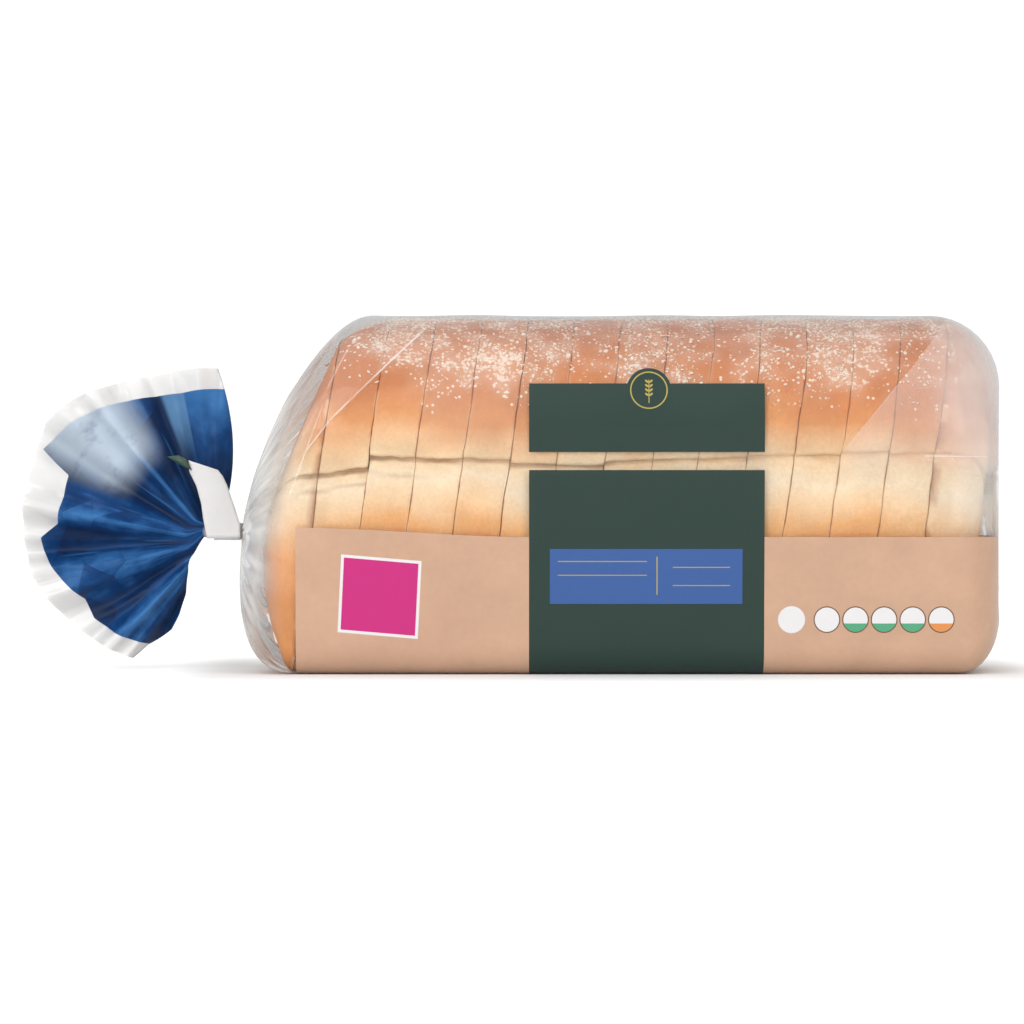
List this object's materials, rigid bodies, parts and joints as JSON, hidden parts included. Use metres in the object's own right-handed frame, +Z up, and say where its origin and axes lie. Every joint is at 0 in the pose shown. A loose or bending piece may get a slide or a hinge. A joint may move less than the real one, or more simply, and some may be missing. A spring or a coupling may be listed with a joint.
{
  "type": "sliced tin loaf in a film bag",
  "caption": "Sliced farmhouse tin loaf with a domed floury crown, wrapped in a clear printed film bag gathered and taped at one end.",
  "frame": {"origin": "middle of the bounding box on the surface that the loaf rests on", "axes": "+X along the loaf towards the sealed end of its bag, -X towards the taped neck, +Z up"},
  "size_m": [0.3431, 0.1138, 0.1245],
  "materials": {
    "crust": "matte baked crust",
    "film": "clear glossy film",
    "tape": "satin tape"
  },
  "bodies": {
    "root": {"heel_neck_end": "crust", "slice_02": "crust", "slice_03": "crust", "slice_04": "crust", "slice_05": "crust", "slice_06": "crust", "slice_07": "crust", "slice_08": "crust", "slice_09": "crust", "slice_10": "crust", "slice_11": "crust", "slice_12": "crust", "slice_13": "crust", "slice_14": "crust", "heel_sealed_end": "crust", "bag_film": "film", "neck_tape": "tape"}
  },
  "joints": []
}
